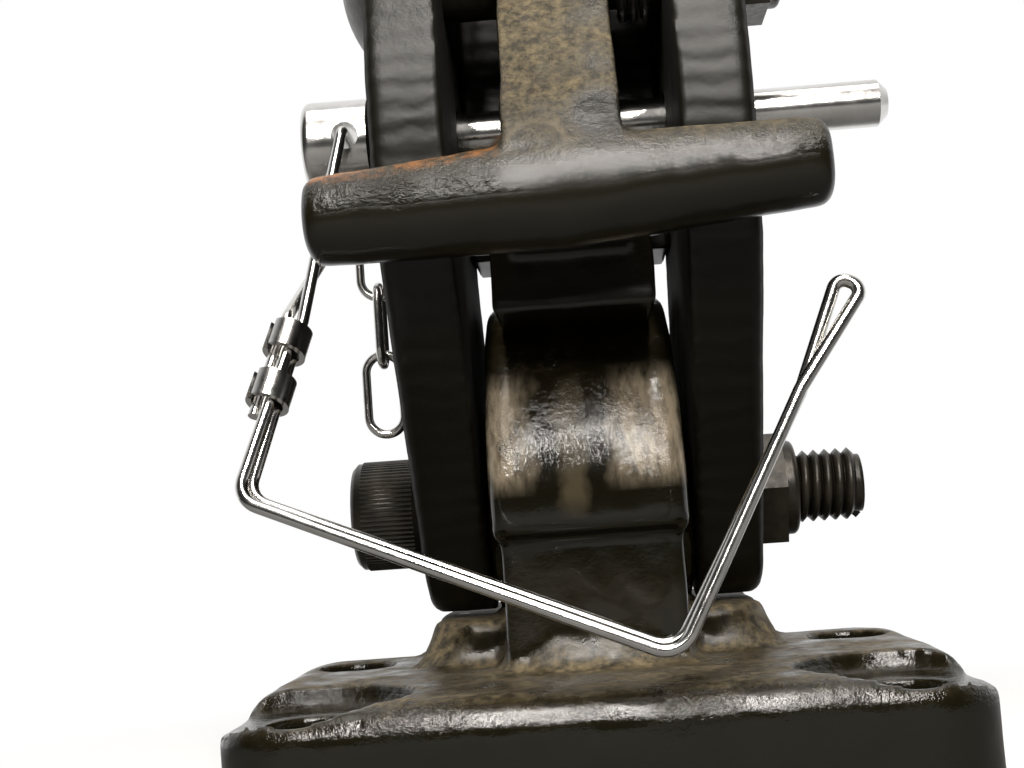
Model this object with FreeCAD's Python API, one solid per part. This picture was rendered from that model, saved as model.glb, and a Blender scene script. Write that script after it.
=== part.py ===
import FreeCAD, Part
import math
import os

V = FreeCAD.Vector

# Pintle and ball combination hitch, standing on its mounting flange.
# Millimetres. Origin at the centre of the mounting face, +Z away from it,
# -Y towards the side that faces the sky when the hitch is bolted up.

# Mounting flange and its bolt pattern
flange_side_margin = 12.15
flange_front_margin = 16.775
flange_thickness = 19.0
flange_corner_radius = 11.0
flange_edge_radius = 5.0
bolt_spacing_x = 85.7
bolt_spacing_y = 44.45
mount_hole_diameter = 13.5
spot_face_diameter = 30.0
spot_face_depth = 3.5

# Jaw pivot and the lug that carries it
pivot_y = 26.0
pivot_z = 45.0
pivot_diameter = 12.7
pivot_clearance = 0.06
lug_width = 31.5
lug_radius = 36.0
lug_edge_radius = 3.0
lug_lip_height = 5.0
lug_lip_reach = 3.5
pivot_boss_radius = 17.0
side_clearance = 0.2

# Neck between flange and lug
neck_width = 29.0
neck_back_y = 62.0
neck_foot_width = 40.0
neck_foot_front = 6.0
horn_foot_width = 78.0
horn_foot_crown_width = 56.0
horn_foot_front_y = 6.0
horn_foot_clearance = 0.6
neck_corner_radius = 8.7

# Tow ball and the horn under it
ball_diameter = 50.8
ball_y = 48.0
ball_z = 145.0
ball_flat_diameter = 16.0
horn_reach_y = 92.0
horn_mid_z = 98.0
horn_half_width = 16.0
horn_half_thickness = 15.0
ball_neck_half_width = 14.0
ball_neck_half_thickness = 13.9

# Upper jaw: two cheek plates and the hook block between them
cheek_thickness = 11.5
jaw_gap = 35.0
cheek_end_radius = 18.0
cheek_edge_radius = 2.0
jaw_front_y = -26.0
jaw_front_z = 98.0
jaw_knee_back = 3.0
jaw_knee_drop = 16.0
jaw_brow_back = 4.0
jaw_crown_share = 1.2
jaw_throat_y = 33.0
jaw_throat_z = 97.0
throat_upper_back = 3.0
throat_upper_rise = 17.0
throat_lower_back = 7.0
throat_lower_drop = 19.0
seat_middle_angle = 140.0
seat_end_angle = 205.0
jaw_top_z = 190.0
ball_seat_clearance = 2.6
beak_angle = 30.0
beak_depth = 11.0
hook_block_z = 147.0
throat_web_y = 16.0
throat_web_z = 88.0

# Socket head pivot bolt and its lock nut
bolt_head_diameter = 19.05
bolt_head_length = 12.7
bolt_head_chamfer = 0.9
thread_chamfer = 1.2
socket_across = 9.5
socket_depth = 6.4
nut_across = 19.05
nut_height = 7.6
nut_collar_diameter = 16.6
nut_collar_height = 2.4
nut_collar_radius = 0.96
nut_face_diameter = 17.9
nut_chamfer_spread = 6.1
insert_height = 1.8
insert_wall = 1.1
insert_recess = 0.3
bolt_stickout = 11.5

# Latch lever
latch_pivot_y = -6.0
latch_pivot_z = 130.5
latch_pivot_diameter = 12.7
latch_head_diameter = 26.0
latch_head_height = 5.0
latch_stickout = 4.0
stem_width = 17.5
stem_boss_radius = 11.5
bar_y = -34.0
bar_z = 88.5
bar_length = 75.0
bar_end_height = 12.7
bar_middle_height = 16.5
bar_depth = 12.6
bar_end_radius = 2.5
bar_tilt = 2.5
nose_width = 25.0
nose_clearance = 0.5
nose_front_y = -20.0
nose_back_y = 10.0
nose_root_share = 0.8
stem_front_reach = 3.9
stem_front_rise = 6.6
stem_foot_drop = 5.8
saddle_shoulder = 8.9
saddle_cheek = 2.2
saddle_top = 5.3
nose_drop = 10.7

# Latch return spring
spring_wire = 1.6
spring_turns = 3
spring_clearance = 0.5
spring_leg = 15.0

# Lock pin
pin_y = 8.0
pin_z = 108.5
pin_diameter = 7.9
pin_hole_clearance = 0.7
pin_saddle_clearance = 0.5
pin_head_diameter = 15.5
pin_head_radius = 1.3
pin_head_length = 11.8
pin_tip_x = 55.0
pin_tip_chamfer = 1.6
pin_eye_x = -36.2
pin_eye_diameter = 4.6
pin_seat_gap = 3.0

# Spring wire bail of the lock pin: corners of its centre line
bail_wire_diameter = 1.9
bail_strand_gap = 0.2
bail_bend_radius = 4.0
bail_loop_width = 3.9
bail_loop_share = 0.3
bail_eye_reach = 2.8
bail_neck_x = -43.3
bail_neck_y = -18.0
bail_neck_z = 72.0
bail_left_x = -49.5
bail_left_y = -31.0
bail_left_z = 48.5
bail_low_x = 10.5
bail_low_y = -41.0
bail_low_z = 23.5
bail_loop_x = 38.5
bail_loop_y = -35.0
bail_loop_z = 72.5
bail_neck_spread = 0.52
bail_front_spread = 0.44
bail_side_spread = 0.27
bail_tail_spread = 1.05
bail_loop_round = 0.4
bail_eye_round = 0.6
ferrule_length = 4.6
ferrule_wall = 0.9
ferrule_play = 0.12
ferrule_gap = 1.6
ferrule_spacing = 9.2

# Retaining chain that hangs on the shank of the lock pin
link_wire = 1.5
link_length = 15.0
link_width = 7.6
link_count = 3
link_play = 0.3
end_link_drop = 13.0
end_link_play = 0.4
end_link_lean = 6.0

flange_width = bolt_spacing_x + 2 * flange_side_margin
flange_depth = bolt_spacing_y + 2 * flange_front_margin
jaw_half_gap = jaw_gap / 2
cheek_outer_x = jaw_half_gap + cheek_thickness
pivot = V(0, pivot_y, pivot_z)
latch_pivot = V(0, latch_pivot_y, latch_pivot_z)
ball_centre = V(0, ball_y, ball_z)
pin_axis = V(0, pin_y, pin_z)
bail_pitch = bail_wire_diameter + bail_strand_gap
bail_half_pitch = bail_pitch * bail_neck_spread
bail_neck = V(bail_neck_x, bail_neck_y, bail_neck_z)
bail_left_corner = V(bail_left_x, bail_left_y, bail_left_z)
bail_low_corner = V(bail_low_x, bail_low_y, bail_low_z)
bail_loop_end = V(bail_loop_x, bail_loop_y, bail_loop_z)
end_link_centre = V(-cheek_outer_x - pin_seat_gap / 2, pin_y, pin_z)
end_link_tip_radius = link_wire * 1.3
bail_tail_offset = bail_pitch * bail_tail_spread


def rounded_rectangle(width, depth, radius, z, centre_y):
    """Closed wire of a rounded rectangle in a level plane."""
    hx = width / 2
    hy = depth / 2
    k = radius * (1 - math.sqrt(0.5))
    edges = []
    corners = [(hx, -hy, 1, -1), (hx, hy, 1, 1), (-hx, hy, -1, 1), (-hx, -hy, -1, -1)]
    ends = []
    for x, y, sx, sy in corners:
        along_y = V(x, centre_y + y - sy * radius, z)
        along_x = V(x - sx * radius, centre_y + y, z)
        middle = V(x - sx * k, centre_y + y - sy * k, z)
        first, last = (along_x, along_y) if sx * sy < 0 else (along_y, along_x)
        ends.append((first, middle, last))
    for i, (first, middle, last) in enumerate(ends):
        edges.append(Part.Arc(first, middle, last).toShape())
        edges.append(Part.LineSegment(last, ends[(i + 1) % 4][0]).toShape())
    return Part.Wire(edges)


def side_prism(wire, x_from, x_to):
    """Solid made by pushing a closed wire in the YZ plane along X."""
    face = Part.Face(wire)
    face.translate(V(x_from, 0, 0))
    return face.extrude(V(x_to - x_from, 0, 0))


def polar(centre, radius, degrees):
    """Point in the YZ plane, the angle counted from +Y towards +Z."""
    a = math.radians(degrees)
    return V(0, centre.y + radius * math.cos(a), centre.z + radius * math.sin(a))


def cross_cylinder(radius, centre, x_from, x_to):
    return Part.makeCylinder(radius, x_to - x_from, V(x_from, centre.y, centre.z), V(1, 0, 0))


def hexagon_prism(across, height, x_from, centre):
    """Hexagonal prism along +X, flats at top and bottom."""
    corner = across / math.sqrt(3)
    points = [polar(centre, corner, 60 * i) for i in range(6)]
    return side_prism(Part.makePolygon(points + points[:1]), x_from, x_from + height)


def edges_where(shape, test):
    return [e for e in shape.Edges if test(e)]


def straight_bar(start, end, diameter):
    return Part.makeCylinder(diameter / 2, (end - start).Length, start, end - start)


def bent_bar(points, radii, diameter):
    """Round bar of straight runs joined by tangent bends; one radius for each inner point."""
    pieces = []
    start = points[0]
    for before, corner, after, radius in zip(points, points[1:], points[2:], radii):
        into = (before - corner).normalize()
        out = (after - corner).normalize()
        half = into.getAngle(out) / 2
        first = corner + into * (radius / math.tan(half))
        last = corner + out * (radius / math.tan(half))
        centre = corner + (into + out).normalize() * (radius / math.sin(half))
        section = Part.Face(Part.Wire(Part.makeCircle(diameter / 2, first, into)))
        bend = section.revolve(centre, out.cross(into), 180 - 2 * math.degrees(half))
        pieces += [straight_bar(start, first, diameter), bend]
        start = last
    pieces.append(straight_bar(start, points[-1], diameter))
    return pieces[0].multiFuse(pieces[1:])


def flange():
    corner = V(-flange_width / 2, -flange_depth / 2, 0)
    block = Part.makeBox(flange_width, flange_depth, flange_thickness, corner)
    upright = edges_where(block, lambda e: abs(e.tangentAt(0).z) > 0.9)
    block = block.makeFillet(flange_corner_radius, upright)
    top = edges_where(block, lambda e: e.BoundBox.ZMin > flange_thickness - 0.01)
    return block.makeFillet(flange_edge_radius, top)


def flared_block(top, foot, back_y, top_z):
    """Block that flares out into the flange; top and foot each give a width and a front Y."""
    foot_z = flange_thickness - flange_edge_radius
    foot_back_y = flange_depth / 2 - flange_edge_radius
    sections = []
    for share, spread in ((0.0, 1.0), (0.25, 0.62), (0.5, 0.3), (0.75, 0.1), (1.0, 0.0)):
        width = top[0] + (foot[0] - top[0]) * spread
        near = top[1] + (foot[1] - top[1]) * spread
        far = back_y + (foot_back_y - back_y) * spread
        z = foot_z + (top_z - foot_z) * share
        sections.append(rounded_rectangle(width, far - near, neck_corner_radius, z, (near + far) / 2))
    return Part.makeLoft(sections, True, False)


def neck():
    """Stem from the flange up into the lug, with the wide foot of the horn spread around it."""
    front = pivot_y - lug_radius + lug_lip_reach
    stem_top = flange_thickness + neck_foot_front
    stem_foot = (neck_foot_width, front - neck_foot_front)
    stem = flared_block((neck_width, front), stem_foot, neck_back_y, stem_top)
    foot_top = pivot_z - cheek_end_radius - horn_foot_clearance
    foot = flared_block((horn_foot_crown_width, pivot_y - cheek_end_radius),
                        (horn_foot_width, horn_foot_front_y), neck_back_y, foot_top)
    rise = Part.makeBox(neck_width, neck_back_y - front - neck_corner_radius, pivot_z - stem_top,
                        V(-neck_width / 2, front, stem_top))
    return stem.multiFuse([foot, rise])


def lug():
    """Rounded drum about the jaw pivot, with a lip at the foot of its front."""
    drum = cross_cylinder(lug_radius, pivot, -lug_width / 2, lug_width / 2)
    rim = edges_where(drum, lambda e: e.Closed and e.Length > lug_radius)
    drum = drum.makeFillet(lug_edge_radius, rim)
    lip_z = pivot_z - lug_lip_height
    below = Part.makeBox(flange_width, 3 * lug_radius, 2 * lug_radius,
                         V(-flange_width / 2, pivot_y - 1.5 * lug_radius, lip_z - 2 * lug_radius))
    front = pivot_y - lug_radius + lug_lip_reach
    foot = flange_thickness - flange_edge_radius
    stem = Part.makeBox(neck_width, pivot_y - front, lip_z - foot, V(-neck_width / 2, front, foot))
    boss_half = jaw_half_gap - side_clearance
    boss = cross_cylinder(pivot_boss_radius, pivot, -boss_half, boss_half)
    return drum.cut(below).multiFuse([stem, boss])


def oval_wire(centre, half_one, half_other):
    """Closed oval about a centre from its two half axes."""
    major, minor = sorted((half_one, half_other), key=lambda half: -half.Length)
    return Part.Wire(Part.Ellipse(centre + major, centre + minor, centre).toShape())


def horn():
    """Horn: a J from the foot of the neck, under the throat, up into the ball."""
    reach = horn_reach_y - pivot_y
    climb = ball_z - flange_thickness
    spine = [
        V(0, pivot_y + reach * 0.10, flange_thickness + climb * 0.08),
        V(0, pivot_y + reach * 0.50, flange_thickness + climb * 0.19),
        V(0, pivot_y + reach * 0.85, flange_thickness + climb * 0.39),
        V(0, horn_reach_y, horn_mid_z),
        V(0, horn_reach_y - reach * 0.06, ball_z - climb * 0.16),
        V(0, horn_reach_y - reach * 0.27, ball_z - climb * 0.02),
        V(0, ball_y, ball_z),
    ]
    sizes = [(1.0, 1.0), (1.02, 1.04), (1.04, 1.06), (1.0, 1.0), (0.98, 0.98), (0.92, 0.95), (0.85, 0.9)]
    sections = []
    for i, point in enumerate(spine):
        along = spine[min(i + 1, len(spine) - 1)] - spine[max(i - 1, 0)]
        if i == len(spine) - 1:
            along = V(0, -1, 0)
        w, t = sizes[i]
        half_width = horn_half_width * w
        half_thickness = horn_half_thickness * t
        if i == len(spine) - 1:
            half_width = ball_neck_half_width
            half_thickness = ball_neck_half_thickness
        across = along.cross(V(1, 0, 0)).normalize()
        sections.append(oval_wire(point, V(half_width, 0, 0), across * half_thickness))
    return Part.makeLoft(sections, True, False)


def tow_ball():
    radius = ball_diameter / 2
    ball = Part.makeSphere(radius, ball_centre)
    height = math.sqrt(radius ** 2 - (ball_flat_diameter / 2) ** 2)
    cutter = Part.makeBox(ball_diameter, radius, ball_diameter,
                          V(-radius, ball_y - height - radius, ball_z - radius))
    return ball.cut(cutter)


def hitch_body():
    body = flange().multiFuse([neck(), lug(), horn(), tow_ball()])
    for sx in (-1, 1):
        for sy in (-1, 1):
            at = V(sx * bolt_spacing_x / 2, sy * bolt_spacing_y / 2, 0)
            body = body.cut(Part.makeCylinder(mount_hole_diameter / 2, flange_thickness * 2, at))
            seat = at + V(0, 0, flange_thickness - (spot_face_depth if sy < 0 else 0))
            body = body.cut(Part.makeCylinder(spot_face_diameter / 2, flange_thickness, seat))
    bore = pivot_diameter / 2 + pivot_clearance
    body = body.cut(cross_cylinder(bore, pivot, -flange_width, flange_width))
    return body.removeSplitter()


def jaw_outer_edges():
    """Front and top outline of the jaw, from the pivot end round to the beak tip."""
    seat = ball_diameter / 2 + ball_seat_clearance
    knee = V(0, jaw_front_y + jaw_knee_back, jaw_front_z - jaw_knee_drop)
    reach = knee - pivot
    tangent = math.degrees(math.atan2(reach.z, reach.y) + math.acos(cheek_end_radius / reach.Length))
    front_end = polar(pivot, cheek_end_radius, tangent)
    chest = V(0, jaw_front_y, jaw_front_z)
    brow = V(0, jaw_front_y + jaw_brow_back, latch_pivot_z)
    crown = V(0, ball_y - seat * jaw_crown_share, jaw_top_z - beak_depth)
    tip_out = polar(ball_centre, seat + beak_depth, 90 - beak_angle)
    tip_in = polar(ball_centre, seat, 90 - beak_angle)
    slope = Part.LineSegment(front_end, knee).toShape()
    swell = Part.Arc(knee, chest, brow).toShape()
    over = Part.Arc(brow, crown, tip_out).toShape()
    tip = Part.LineSegment(tip_out, tip_in).toShape()
    return [slope, swell, over, tip], front_end, tip_in


def cheek_profile():
    """Side outline of a cheek plate: pivot eye, front edge, hook and throat."""
    seat = ball_diameter / 2 + ball_seat_clearance
    outer, front_end, tip_in = jaw_outer_edges()
    seat_middle = polar(ball_centre, seat, seat_middle_angle)
    seat_end = polar(ball_centre, seat, seat_end_angle)
    throat_high = V(0, jaw_throat_y + throat_upper_back, jaw_throat_z + throat_upper_rise)
    throat = V(0, jaw_throat_y, jaw_throat_z)
    throat_low = V(0, jaw_throat_y + throat_lower_back, jaw_throat_z - throat_lower_drop)
    back_end = polar(pivot, cheek_end_radius, 0)
    edges = outer + [
        Part.Arc(tip_in, seat_middle, seat_end).toShape(),
        Part.LineSegment(seat_end, throat_high).toShape(),
        Part.Arc(throat_high, throat, throat_low).toShape(),
        Part.LineSegment(throat_low, back_end).toShape(),
        Part.Arc(back_end, polar(pivot, cheek_end_radius, 270), front_end).toShape(),
    ]
    return Part.Wire(edges)


def jaw_cheek():
    """Flame cut side plate on the right, its outer front edge rounded over."""
    plate = side_prism(cheek_profile(), jaw_half_gap, cheek_outer_x)
    rim = edges_where(plate, lambda e: abs(e.CenterOfMass.x - cheek_outer_x) < 0.01
                      and e.CenterOfMass.y < pivot_y and e.Length > cheek_end_radius)
    plate = plate.makeFillet(cheek_edge_radius, rim)
    for radius, at in (
        (pivot_diameter / 2 + pivot_clearance, pivot),
        (latch_pivot_diameter / 2 + pivot_clearance, latch_pivot),
        ((pin_diameter + pin_hole_clearance) / 2, pin_axis),
    ):
        plate = plate.cut(cross_cylinder(radius, at, -flange_width, flange_width))
    return plate


def jaw_hook():
    """Hook welded between the plates: the throat's wall and the cup that closes over the ball."""
    block = side_prism(cheek_profile(), -jaw_half_gap, jaw_half_gap)
    side = -flange_width / 2
    crown = Part.makeBox(flange_width, 2 * flange_width, jaw_top_z, V(side, -flange_width, hook_block_z))
    web = Part.makeBox(flange_width, flange_width, jaw_top_z, V(side, throat_web_y, throat_web_z))
    cup = Part.makeSphere(ball_diameter / 2 + ball_seat_clearance, ball_centre)
    return block.common(crown.fuse(web)).cut(cup).removeSplitter()


def lock_nut(centre, diameter, x_from):
    """Hexagon nut with a rolled collar that holds a nylon ring; returns nut and ring."""
    hexagon = hexagon_prism(nut_across, nut_height - nut_collar_height, x_from, centre)
    corner = nut_across / math.sqrt(3)
    turned = Part.makeCone(corner + nut_chamfer_spread, nut_face_diameter / 2, nut_height,
                           V(x_from, centre.y, centre.z), V(1, 0, 0))
    collar_start = x_from + nut_height - nut_collar_height
    collar = cross_cylinder(nut_collar_diameter / 2, centre, collar_start, x_from + nut_height)
    rim = edges_where(collar, lambda e: e.BoundBox.XMin > x_from + nut_height - 0.01)
    collar = collar.makeFillet(nut_collar_radius, rim)
    nut = hexagon.common(turned).fuse(collar)
    nut = nut.cut(cross_cylinder(diameter / 2, centre, x_from - 1, x_from + nut_height + 1))
    ring_outer = diameter / 2 + insert_wall
    ring_start = x_from + nut_height - insert_height
    ring = cross_cylinder(ring_outer, centre, ring_start, x_from + nut_height - insert_recess)
    ring = ring.cut(cross_cylinder(diameter / 2, centre, x_from, x_from + nut_height + 1))
    nut = nut.cut(cross_cylinder(ring_outer, centre, ring_start, x_from + nut_height))
    return nut, ring


def chamfered_shank(diameter, centre, x_from, x_to, chamfer):
    shank = cross_cylinder(diameter / 2, centre, x_from, x_to)
    end = edges_where(shank, lambda e: e.BoundBox.XMin > x_to - 0.01 and e.Closed)
    return shank.makeChamfer(chamfer, end)


def pivot_bolt():
    """Socket head cap screw that the jaw turns on."""
    end = cheek_outer_x + nut_height + bolt_stickout
    shank = chamfered_shank(pivot_diameter, pivot, -cheek_outer_x, end, thread_chamfer)
    face = -cheek_outer_x - bolt_head_length
    head = cross_cylinder(bolt_head_diameter / 2, pivot, face, -cheek_outer_x)
    rim = edges_where(head, lambda e: e.BoundBox.XMax < face + 0.01 and e.Closed)
    head = head.makeChamfer(bolt_head_chamfer, rim)
    socket = hexagon_prism(socket_across, socket_depth, face, pivot)
    return head.cut(socket).fuse(shank).removeSplitter()


def latch_pivot_bolt():
    """Round head bolt that carries the latch lever."""
    end = cheek_outer_x + nut_height + latch_stickout
    shank = chamfered_shank(latch_pivot_diameter, latch_pivot, -cheek_outer_x, end, thread_chamfer)
    half = latch_head_diameter / 2
    radius = (half ** 2 + latch_head_height ** 2) / (2 * latch_head_height)
    centre = V(-cheek_outer_x - latch_head_height + radius, latch_pivot_y, latch_pivot_z)
    dome = Part.makeSphere(radius, centre)
    corner = V(-cheek_outer_x - latch_head_height, latch_pivot_y - 2 * half, latch_pivot_z - 2 * half)
    slab = Part.makeBox(latch_head_height, 4 * half, 4 * half, corner)
    return dome.common(slab).fuse(shank).removeSplitter()


def lever_bar():
    """Cross bar of the lever: tallest at its middle, round in section, with rounded ends."""
    half = bar_length / 2
    stations = ((-1.0, 0.0), (0.0, 1.0), (1.0, 0.0))
    sections = []
    for share, swell in stations:
        height = bar_end_height + (bar_middle_height - bar_end_height) * swell
        sections.append(oval_wire(V(half * share, 0, 0), V(0, 0, height / 2), V(0, bar_depth / 2, 0)))
    bar = Part.makeLoft(sections, True, True)
    ends = edges_where(bar, lambda e: abs(abs(e.CenterOfMass.x) - half) < 0.01)
    bar = bar.makeFillet(bar_end_radius, ends)
    bar.rotate(V(0, 0, 0), V(0, 1, 0), -bar_tilt)
    bar.translate(V(0, bar_y, bar_z))
    return bar


def latch_lever():
    """Forged T handle: pivot eye, stem, cross bar and the nose that rides on the lug."""
    eye = cross_cylinder(stem_boss_radius, latch_pivot, -stem_width / 2, stem_width / 2)
    saddle = pin_diameter / 2 + pin_saddle_clearance
    stem_points = [
        polar(latch_pivot, stem_boss_radius, 195),
        V(0, bar_y - stem_front_reach, bar_z + stem_front_rise),
        V(0, bar_y, bar_z - stem_foot_drop),
        V(0, nose_front_y, bar_z - stem_foot_drop),
        V(0, pin_y - saddle, pin_z - saddle_shoulder),
        V(0, pin_y - saddle_cheek, pin_z + saddle_top),
        polar(latch_pivot, stem_boss_radius, -15),
    ]
    stem = side_prism(Part.makePolygon(stem_points + stem_points[:1]), -stem_width / 2, stem_width / 2)
    nose_top = pin_z - nose_drop
    nose = Part.makeBox(nose_width, nose_back_y - nose_front_y, nose_top - pivot_z,
                        V(-nose_width / 2, nose_front_y, pivot_z))
    swept = cross_cylinder(lug_radius + nose_clearance, pivot, -nose_width, nose_width)
    roof = Part.makeBox(nose_width * 2, nose_back_y - nose_front_y, nose_top,
                        V(-nose_width, nose_front_y, pivot_z + lug_radius * nose_root_share))
    nose = nose.common(roof).cut(swept)
    lever = eye.multiFuse([stem, nose, lever_bar()])
    bore = latch_pivot_diameter / 2 + pivot_clearance
    lever = lever.cut(cross_cylinder(bore, latch_pivot, -nose_width, nose_width))
    return lever.cut(cross_cylinder(saddle, pin_axis, -nose_width, nose_width)).removeSplitter()


def lock_pin():
    """Turned pin: head with an eye across it, plain shank, chamfered tip."""
    head_end = -cheek_outer_x - pin_seat_gap
    shank = chamfered_shank(pin_diameter, pin_axis, head_end, pin_tip_x, pin_tip_chamfer)
    head = cross_cylinder(pin_head_diameter / 2, pin_axis, head_end - pin_head_length, head_end)
    rim = edges_where(head, lambda e: e.BoundBox.XMax < head_end - pin_head_length + 0.01 and e.Closed)
    head = head.makeFillet(pin_head_radius, rim)
    edge = edges_where(head, lambda e: e.BoundBox.XMin > head_end - 0.01 and e.Closed)
    head = head.makeChamfer(pin_head_radius / 2, edge)
    eye = Part.makeCylinder(pin_eye_diameter / 2, pin_head_diameter * 2,
                            V(pin_eye_x, pin_y - pin_head_diameter, pin_z), V(0, 1, 0))
    return head.fuse(shank).cut(eye).removeSplitter()


def latch_spring():
    """Torsion spring beside the lever's eye: close coils and two straight legs."""
    radius = latch_pivot_diameter / 2 + spring_clearance + spring_wire / 2
    start_x = stem_width / 2 + spring_clearance + spring_wire / 2
    rise = (spring_wire + spring_clearance / 2) / 4
    corners = [(-1, 1), (-1, -1), (1, -1), (1, 1)]
    route = [V(start_x, latch_pivot_y + spring_leg, latch_pivot_z + radius)]
    for i in range(4 * spring_turns):
        sy, sz = corners[i % 4]
        route.append(V(start_x + rise * (i + 1), latch_pivot_y + sy * radius, latch_pivot_z + sz * radius))
    end_x = start_x + rise * (4 * spring_turns + 1)
    route.append(V(end_x, latch_pivot_y - spring_leg, latch_pivot_z + radius))
    return bent_bar(route, [radius * 0.95] * (4 * spring_turns), spring_wire)


def bail_facing():
    """Normal of the bail's plane, towards the front."""
    normal = (bail_loop_end - bail_low_corner).cross(bail_low_corner - bail_left_corner).normalize()
    return normal * -1 if normal.y > 0 else normal


def bail_strands():
    """Corner points of the one wire that makes the doubled bail, from cut end to cut end."""
    centre = [bail_neck, bail_left_corner, bail_low_corner, bail_loop_end]
    run_b = bail_loop_end - bail_low_corner
    facing = bail_facing()
    front, back = [], []
    for before, corner, after in zip(centre, centre[1:], centre[2:]):
        outward = ((before - corner).normalize() + (after - corner).normalize()).normalize() * -1
        shift = facing * (bail_pitch * bail_front_spread) + outward * (bail_pitch * bail_side_spread)
        front.append(corner + shift)
        back.append(corner - shift)
    across = run_b.cross(facing).normalize()
    if across.x < 0:
        across = across * -1
    neck_run = (bail_left_corner - bail_neck).normalize()
    neck_out = neck_run.cross(facing).normalize()
    depth = facing * bail_half_pitch
    loop_start = bail_loop_end - run_b * bail_loop_share
    offset = facing * bail_half_pitch
    loop = [loop_start + offset, bail_loop_end + across * (bail_loop_width / 2),
            bail_loop_end - across * (bail_loop_width / 2), loop_start - offset]
    head = pin_head_diameter / 2 + bail_eye_reach
    eye_front = V(pin_eye_x, pin_y - head, pin_z)
    eye_back = V(pin_eye_x, pin_y + head, pin_z)
    under = V(pin_eye_x - bail_eye_reach, pin_y + head, pin_z - head)
    above = neck_run * ferrule_length
    tail = bail_neck + neck_out * bail_tail_offset - above
    tail_end = tail + above * 2 + neck_run * ferrule_spacing
    route = [bail_neck + depth - above * 0.6] + front + loop + back[::-1]
    route += [bail_neck - depth - above, eye_front, eye_back, under, tail, tail_end]
    radii = [bail_bend_radius] * 3 + [bail_loop_width * bail_loop_round] * 2 + [bail_bend_radius] * 3
    radii += [bail_bend_radius] + [bail_eye_reach * bail_eye_round] * 2 + [bail_bend_radius] * 2
    return route, radii


def bail_wire():
    route, radii = bail_strands()
    return bent_bar(route, radii, bail_wire_diameter)


def bail_ferrule(place):
    """Crimped band around the three strands, open along one side."""
    run = (bail_left_corner - bail_neck).normalize()
    out = run.cross(bail_facing()).normalize()
    to_middle = (bail_tail_offset ** 2 - bail_half_pitch ** 2) / (2 * bail_tail_offset)
    start = bail_neck + run * place + out * to_middle
    inner = bail_tail_offset - to_middle + bail_wire_diameter / 2 + ferrule_play
    band = Part.makeCylinder(inner + ferrule_wall, ferrule_length, start, run)
    band = band.cut(Part.makeCylinder(inner, ferrule_length, start, run))
    corner = V(-ferrule_gap / 2, 0, -ferrule_length / 2)
    slot = Part.makeBox(ferrule_gap, 2 * inner, 2 * ferrule_length, corner)
    slot.Placement = FreeCAD.Placement(start, FreeCAD.Rotation(V(0, 0, 1), run))
    return band.cut(slot)


def chain_link():
    """One welded link about the origin, long along Z, flat in the XZ plane."""
    radius = (link_width - link_wire) / 2
    half = link_length / 2 - link_wire / 2 - radius
    pieces = []
    for side in (-1, 1):
        pieces.append(straight_bar(V(side * radius, 0, -half), V(side * radius, 0, half), link_wire))
        circle = Part.makeCircle(link_wire / 2, V(radius, 0, side * half), V(0, 0, 1))
        section = Part.Face(Part.Wire(circle))
        pieces.append(section.revolve(V(0, 0, side * half), V(0, -side, 0), 180))
    return pieces[0].multiFuse(pieces[1:])


def chain_end_link():
    """Pear shaped end link threaded on the pin, leaning away from the cheek."""
    large = pin_diameter / 2 + end_link_play + link_wire / 2
    lean = math.degrees(math.asin((large - end_link_tip_radius) / end_link_drop))
    low = end_link_centre - V(0, 0, end_link_drop)
    pieces = []
    for middle, radius, first, sweep in (
        (end_link_centre, large, -lean, 180 + 2 * lean),
        (low, end_link_tip_radius, 180 + lean, 180 - 2 * lean),
    ):
        start = middle + polar(V(0, 0, 0), radius, first)
        along = polar(V(0, 0, 0), 1, first + 90)
        section = Part.Face(Part.Wire(Part.makeCircle(link_wire / 2, start, along)))
        pieces.append(section.revolve(middle, V(1, 0, 0), sweep))
    for angle in (-lean, 180 + lean):
        lower = low + polar(V(0, 0, 0), end_link_tip_radius, angle)
        upper = end_link_centre + polar(V(0, 0, 0), large, angle)
        pieces.append(straight_bar(lower, upper, link_wire))
    link = pieces[0].multiFuse(pieces[1:])
    link.rotate(end_link_centre, V(0, 1, 0), end_link_lean)
    return link


def chain_links():
    """Links hanging in line, each turned a quarter from the last."""
    reach = end_link_drop + end_link_tip_radius
    lean = math.radians(end_link_lean)
    x = end_link_centre.x - reach * math.sin(lean) - (link_width / 2 - 1.5 * link_wire - 2 * link_play)
    inner_low = pin_z - reach * math.cos(lean) + link_wire / 2
    top = inner_low + link_wire + link_play
    pitch = link_length - 2 * link_wire - link_play
    links = []
    for i in range(link_count):
        link = chain_link()
        link.rotate(V(0, 0, 0), V(0, 0, 1), 90 * i)
        link.translate(V(x, pin_y, top - link_length / 2 - pitch * i))
        links.append(link)
    return Part.makeCompound(links)


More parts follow.
